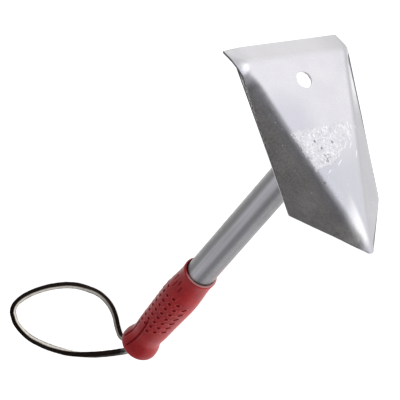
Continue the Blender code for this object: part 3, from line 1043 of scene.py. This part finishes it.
def blade_triangles(rim, hole_rim):
    """Points and counter-clockwise triangles of the flat face between its rim and the hole's."""
    centre = Vector((0, HOLE_HEIGHT))
    edges = [(i, (i + 1) % len(rim)) for i in range(len(rim))]
    hole_ids = range(len(rim), len(rim) + len(hole_rim))
    edges += [(i, hole_ids[(k + 1) % len(hole_rim)]) for k, i in enumerate(hole_ids)]
    flat = [*rim, *hole_rim, *blade_grid()]
    spots, _, triangles, *_ = delaunay_2d_cdt(flat, edges, [], 0, SAME_SPOT)
    kept = []
    for triangle in triangles:
        a, b, c = (spots[i] for i in triangle)
        if ((a + b + c) / 3 - centre).length > HOLE_RADIUS:
            turn = (b - a).x * (c - a).y - (b - a).y * (c - a).x
            kept.append(tuple(triangle) if turn > 0 else tuple(reversed(triangle)))
    return spots, kept


def spot_key(spot):
    return round(spot.x / SAME_SPOT), round(spot.y / SAME_SPOT)


def make_blade(material):
    outline = rounded_outline()
    inward = inward_turns(outline)
    turns = [2 * math.pi * i / HOLE_SIDES for i in range(HOLE_SIDES)]
    outward = [Vector((math.cos(a), math.sin(a))) for a in turns]
    hole = [
        Vector((HOLE_RADIUS * math.cos(a), HOLE_HEIGHT + HOLE_RADIUS * math.sin(a))) for a in turns
    ]
    rim = [s + t * EDGE_ROUND for s, t in zip(outline, inward, strict=True)]
    hole_rim = [s + t * EDGE_ROUND for s, t in zip(hole, outward, strict=True)]
    spots, triangles = blade_triangles(rim, hole_rim)
    points, normals = [], []
    for behind in (False, True):
        for y, z in spots:
            normal = surface_normal(y, z)
            points.append(surface(y, z) - normal * (SHEET if behind else 0.0))
            normals.append(-normal if behind else normal)
    count = len(spots)
    edge = [0.0] * len(points)
    faces = triangles + [tuple(count + i for i in reversed(t)) for t in triangles]
    # The rounded edges join the front's rim to the back's
    order = {spot_key(spot): i for i, spot in enumerate(spots)}
    rounded = ((rim, edge_loops(outline, inward), False), (hole_rim, edge_loops(hole, outward), True))
    for start, loops, flip in rounded:
        ids = [order[spot_key(spot)] for spot in start]
        rings = [ids]
        for loop in loops[1:-1]:
            rings.append(list(range(len(points), len(points) + len(loop))))
            points += [point for point, _ in loop]
            normals += [normal for _, normal in loop]
            edge += [1.0] * len(loop)
        rings.append([count + i for i in ids])
        for low, high in zip(rings, rings[1:], strict=False):
            for i in range(len(low)):
                j = (i + 1) % len(low)
                face = (low[i], high[i], high[j], low[j])
                faces.append(face if not flip else tuple(reversed(face)))
    turned = LAID.to_3x3()
    blade = mesh_object(
        "blade_sheet",
        [LAID @ p for p in points],
        faces,
        material,
        normals=[turned @ n for n in normals],
        attributes={"edge": edge},
    )
    finished(blade, "blade")


# Weld

WELD_RIPPLES = 41
WELD_SIDES, WELD_STEPS = 328, 9
WELD_BULGE = 0.0007
WELD_LEG_SHARE, WELD_WANDER = 0.93, 0.06
RIPPLE_LAG = 0.35  # how far each ripple lags in its middle, in ripples
RIPPLE_POWER = 0.6
RIPPLE_LEAST, RIPPLE_MORE = 0.1, 0.9


def weld_profile(turn):
    """Points (out from the tube, up from the blade) over the weld at a turn, as a share of a circle."""
    angle = 2 * math.pi * turn
    wander = noise.noise(Vector((math.cos(angle), math.sin(angle), 2)))
    leg = WELD_LEG * (WELD_LEG_SHARE + WELD_WANDER * wander)
    profile = []
    for step in range(WELD_STEPS + 1):
        share = step / WELD_STEPS
        arch = math.sin(math.pi * share)
        ripple = abs(math.sin(math.pi * (turn * WELD_RIPPLES + RIPPLE_LAG * arch))) ** RIPPLE_POWER
        bulge = WELD_BULGE * arch * (RIPPLE_LEAST + RIPPLE_MORE * ripple)
        profile.append((leg * share + bulge, leg * (1 - share) + bulge))
    return profile


def make_weld(material):
    near = TUBE_RADIUS + GAP / 2
    profiles = [weld_profile(i / WELD_SIDES) for i in range(WELD_SIDES)]
    rings = []
    for step in range(WELD_STEPS + 1):
        ring = []
        for i, profile in enumerate(profiles):
            out, up = profile[step]
            a = 2 * math.pi * i / WELD_SIDES
            spot = TO_AXIS @ Vector(((near + out) * math.cos(a), (near + out) * math.sin(a), 0))
            behind = (SHEET + GAP / 2 + up + spot.x) / math.cos(TUBE_TILT)
            ring.append(LAID @ (spot + AXIS * behind))
        rings.append(ring)
    rings.append([LAID @ p for p in ring_behind(near, GAP / 2, WELD_SIDES)])
    points, faces = joined_rings(rings, loop=True)
    weld = mesh_object("weld_ripples", points, faces, material)
    finished(weld, "weld_bead")


# Grip

GRIP_SIDES = 256
GRIP_STEP = 0.0004
FULL_RECESS = 0.0006  # a spot this deep counts as fully recessed in the material's painted shade
DIMPLE_LEAN = math.radians(45)
DIMPLE_PITCH = 0.0081
DIMPLE = (0.0020, 0.0015, 0.00060, 0.30)  # half length, half width, depth and taper
SLOT = (0.0029, 0.0012, 0.00065, 0.0)
RING_HEIGHT = 0.00016  # the raised ring round a dimple
RING_PLACE, RING_SPREAD = 1.30, 0.24  # in dimple sizes from its middle
DIMPLE_REACH = 5
BOWL_POWER = 0.6
DIMPLE_COLUMNS = (  # (turn in degrees, first place along the grip, how many, what)
    (-70.0, 0.0380, 6, SLOT),
    (-44.0, 0.0345, 7, DIMPLE),
    (-21.5, 0.0315, 8, DIMPLE),
    (2.0, 0.0355, 7, DIMPLE),
    (26.0, 0.0310, 8, DIMPLE),
    (50.5, 0.0345, 7, DIMPLE),
    (75.5, 0.0310, 8, DIMPLE),
    (100.5, 0.0345, 7, SLOT),
)
BARS = (  # (turn in degrees, place of one end, place of the other) of short shallow grooves
    (-15.0, 0.0150, 0.0215),
    (0.0, 0.0110, 0.0175),
    (13.0, 0.0165, 0.0240),
    (29.0, 0.0130, 0.0200),
)
BAR_DEPTH, BAR_WIDTH, BAR_END = 0.00035, 0.0009, 0.0007
GROOVES = (  # (place along the grip, turn in degrees) of each groove's line
    ((0.0760, -1.0), (0.0870, -7.5), (0.0990, -9.0), (0.1110, -6.5), (0.1230, -3.0)),
    ((0.0900, 27.0), (0.0990, 31.0), (0.1110, 30.0), (0.1230, 27.0)),
)
GROOVE_DEPTH, GROOVE_WIDTH = 0.00070, 0.0008
GROOVE_START, GROOVE_END = 0.004, 0.003  # how far each end takes to reach the full depth
DOME_GROOVE_DEPTH, DOME_GROOVE_TURN = 0.0005, math.radians(-3)
DOME_GROOVE_END, DOME_GROOVE_FADE = math.radians(24), math.radians(20)
SEAM_TURN, SEAM_HEIGHT, SEAM_WIDTH = math.radians(195), 0.00012, 0.0004
SEAM_RADIUS = 0.015
DOME_RINGS = 26
MOUTH_ROUND = 0.0006
MOUTH_DEEP, MOUTH_INNER, MOUTH_OUTER = 0.0040, 0.0014, 0.0012  # places inside the mouth
LOOSE_TURN = math.radians(55)  # the mouth stands a little off the tube on this side
LOOSE_MOST, LOOSE_LEAST = 0.0008, 0.00024


def grip_radius(places):
    """Smooth radii along the grip from its outline's points."""
    s = np.array([place for place, _ in GRIP_OUTLINE])
    r = np.array([radius for _, radius in GRIP_OUTLINE])
    slope = np.gradient(r, s)
    i = np.clip(np.searchsorted(s, places) - 1, 0, len(s) - 2)
    h = s[i + 1] - s[i]
    t = (places - s[i]) / h
    return (
        (2 * t**3 - 3 * t**2 + 1) * r[i]
        + (t**3 - 2 * t**2 + t) * h * slope[i]
        + (-2 * t**3 + 3 * t**2) * r[i + 1]
        + (t**3 - t**2) * h * slope[i + 1]
    )


def turn_between(turns, centre):
    """How far each turn is from a centre, in radians, the short way round."""
    return (turns - centre + math.pi) % (2 * math.pi) - math.pi


def dimple_relief(arc, up, kind):
    """One tapered bowl with a raised ring, leaning across the grip."""
    half_long, half_short, depth, taper = kind
    long = arc * math.cos(DIMPLE_LEAN) + up * math.sin(DIMPLE_LEAN)
    short = -arc * math.sin(DIMPLE_LEAN) + up * math.cos(DIMPLE_LEAN)
    widened = half_short * (1 + taper * np.clip(long / half_long, -1, 1))
    q = (long / half_long) ** 2 + (short / widened) ** 2
    bowl = depth * np.clip(1 - q, 0, 1) ** BOWL_POWER
    ring = RING_HEIGHT * np.exp(-(((np.sqrt(q) - RING_PLACE) / RING_SPREAD) ** 2))
    return np.where(q < DIMPLE_REACH, bowl - ring, 0.0)


def grip_relief(turns, places, radii):
    """How far the pattern sinks the surface at each turn (columns) and place (rows)."""
    deep = np.zeros((len(places), len(turns)))
    s = places[:, None]

    def arc_from(centre):
        return turn_between(turns[None, :], centre) * radii[:, None]

    for degrees, first, count, kind in DIMPLE_COLUMNS:
        arc = arc_from(math.radians(degrees))
        for k in range(count):
            deep += dimple_relief(arc, s - (first + k * DIMPLE_PITCH), kind)
    for degrees, low, high in BARS:
        arc = arc_from(math.radians(degrees))
        past = np.maximum(0, np.abs(s - (low + high) / 2) - (high - low) / 2)
        deep += BAR_DEPTH * np.exp(-((arc / BAR_WIDTH) ** 2) - (past / BAR_END) ** 2)
    for line in GROOVES:
        along = np.array([place for place, _ in line])
        centre = np.interp(places, along, np.radians([turn for _, turn in line]))
        inside = np.clip((s - along[0]) / GROOVE_START, 0, 1) * np.clip((along[-1] - s) / GROOVE_END, 0, 1)
        arc = arc_from(centre[:, None])
        deep += GROOVE_DEPTH * inside * np.exp(-((arc / GROOVE_WIDTH) ** 2))
    return deep


def make_grip(material):
    length = GRIP_BUTT - GRIP_MOUTH
    places = np.linspace(0, length, round(length / GRIP_STEP) + 1)
    turns = np.arange(GRIP_SIDES) * 2 * math.pi / GRIP_SIDES
    radii = grip_radius(places)
    relief = grip_relief(turns, places, radii)
    seam = np.exp(-((turn_between(turns, SEAM_TURN) * SEAM_RADIUS / SEAM_WIDTH) ** 2))
    outer = radii[:, None] - relief + SEAM_HEIGHT * seam[None, :]
    bore = TUBE_RADIUS + GAP
    floor = TUBE_END + GAP
    rings, recess = [], []

    def add_ring(radius, along, deep=0.0):
        radius = np.broadcast_to(radius, GRIP_SIDES)
        ring = [Vector((r * math.cos(a), r * math.sin(a), along)) for r, a in zip(radius, turns, strict=True)]
        rings.append([GRIP_FRAME @ p for p in ring])
        recess.extend(np.broadcast_to(np.clip(deep / FULL_RECESS, -1, 1), GRIP_SIDES))

    # The bore, and a mouth that is a little loose
    mouth = bore + LOOSE_MOST * np.clip(np.cos(turn_between(turns, LOOSE_TURN)), 0, 1) ** 2 - LOOSE_LEAST
    add_ring(bore, floor)
    add_ring(bore, GRIP_MOUTH + MOUTH_DEEP)
    add_ring(mouth, GRIP_MOUTH + MOUTH_INNER)
    for t in np.linspace(0.15, 0.85, 5):
        a = math.pi / 2 * t
        add_ring(mouth + MOUTH_ROUND * (1 - math.cos(a)), GRIP_MOUTH + MOUTH_OUTER * (1 - math.sin(a)))
    for place, radius, deep in zip(places, outer, relief, strict=True):
        add_ring(radius, GRIP_MOUTH + place, deep)
    # The butt's dome, with one groove that runs on over it
    hole = LACE_HOLE_RADIUS + HOLE_EDGE
    last = math.acos(hole / BUTT_RADIUS)
    for a in np.linspace(0, last, DOME_RINGS)[1:]:
        radius = BUTT_RADIUS * math.cos(a)
        fade = np.clip((DOME_GROOVE_END - a) / DOME_GROOVE_FADE, 0, 1)
        arc = turn_between(turns, DOME_GROOVE_TURN) * radius
        groove = DOME_GROOVE_DEPTH * fade * np.exp(-((arc / GROOVE_WIDTH) ** 2))
        add_ring(radius - groove, GRIP_BUTT + BUTT_DOME * math.sin(a), groove)
    top = GRIP_BUTT + BUTT_DOME * math.sin(last)
    for t in np.linspace(0.25, 1, 4):
        a = math.pi / 2 * t
        add_ring(hole - HOLE_EDGE * math.sin(a), top - HOLE_EDGE * (1 - math.cos(a)))
    add_ring(LACE_HOLE_RADIUS, floor)
    points, faces = joined_rings(rings, loop=True)
    grip = mesh_object("grip_vinyl", points, faces, material, attributes={"recess": recess})
    finished(grip, "grip")


# Stage

FLOOR_HALF, FLOOR_HEIGHT = 6.0, -0.0002
FLOOR_FADE = (0.45, 2.2)  # distances from the middle between which it turns grey
DARK_FADE = (0.55, 0.93)  # cosines of the angles to its middle between which the patch fades in
DARK_TOWARD = Vector((0.604, -0.22, 0.766))  # where the blade's upper wing looks
LAMP_PLACE, LAMP_AIM = Vector((1.48, 0.89, 0.49)), Vector((0.1, 0, 0.05))
LAMP_SIZE, LAMP_POWER = 0.6, 5


def make_floor():
    """A pale glowing table that fades to grey further out."""
    data = bpy.data.meshes.new("floor")
    sides = ((-1, -1), (1, -1), (1, 1), (-1, 1))
    corners = [(x * FLOOR_HALF, y * FLOOR_HALF, FLOOR_HEIGHT) for x, y in sides]
    data.from_pydata(corners, [], [(0, 1, 2, 3)])
    floor = bpy.data.objects.new("floor", data)
    bpy.context.scene.collection.objects.link(floor)
    look = Look("floor", Roughness=0.9, Specular_IOR_Level=0.0, Emission_Strength=1.0)
    look.set(look.shader, {"Base Color": (0.60, 0.60, 0.60)})
    spot = look.add("ShaderNodeTexCoord", out="Object")
    far = look.add("ShaderNodeVectorMath", {0: spot}, out="Value", operation="LENGTH")
    glow = look.mix(look.stretch(far, *FLOOR_FADE), (0.96, 0.96, 0.96), (0.42, 0.44, 0.50))
    look.set(look.shader, {"Emission Color": glow})
    data.materials.append(look.material)


def make_world():
    """A grey room with a darker patch that the blade's upper wing looks at."""
    world = bpy.data.worlds.new("studio")
    bpy.context.scene.world = world
    world.use_nodes = True
    nodes, links = world.node_tree.nodes, world.node_tree.links
    spot = nodes.new("ShaderNodeTexCoord")
    toward = nodes.new("ShaderNodeVectorMath")
    toward.operation = "DOT_PRODUCT"
    toward.inputs[1].default_value = DARK_TOWARD.normalized()
    patch = nodes.new("ShaderNodeMapRange")
    patch.interpolation_type = "SMOOTHSTEP"
    patch.inputs["From Min"].default_value, patch.inputs["From Max"].default_value = DARK_FADE
    room = nodes.new("ShaderNodeMix")
    room.data_type = "RGBA"
    room.inputs[6].default_value = (0.54, 0.54, 0.56, 1)
    room.inputs[7].default_value = (0.080, 0.074, 0.069, 1)
    links.new(spot.outputs["Generated"], toward.inputs[0])
    links.new(toward.outputs["Value"], patch.inputs["Value"])
    links.new(patch.outputs[0], room.inputs[0])
    links.new(room.outputs[2], nodes["Background"].inputs["Color"])
    nodes["Background"].inputs["Strength"].default_value = 1.0


def make_lamp():
    data = bpy.data.lights.new("lip_side", "AREA")
    data.size = LAMP_SIZE
    data.energy = LAMP_POWER
    lamp = bpy.data.objects.new("lip_side", data)
    lamp.location = LAMP_PLACE
    lamp.rotation_mode = "QUATERNION"
    lamp.rotation_quaternion = (LAMP_AIM - LAMP_PLACE).to_track_quat("-Z", "Y")
    bpy.context.scene.collection.objects.link(lamp)


make_camera()
leather = dark_leather()
make_lace(leather)
make_knot(leather)
make_blade(aluminium_sheet())
make_weld(weld_metal())
make_grip(red_vinyl())
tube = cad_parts["handle_tube"]
tube.material_slots[0].material = aluminium_tube()
make_floor()
make_world()
make_lamp()
bpy.context.scene.view_settings.view_transform = "Standard"
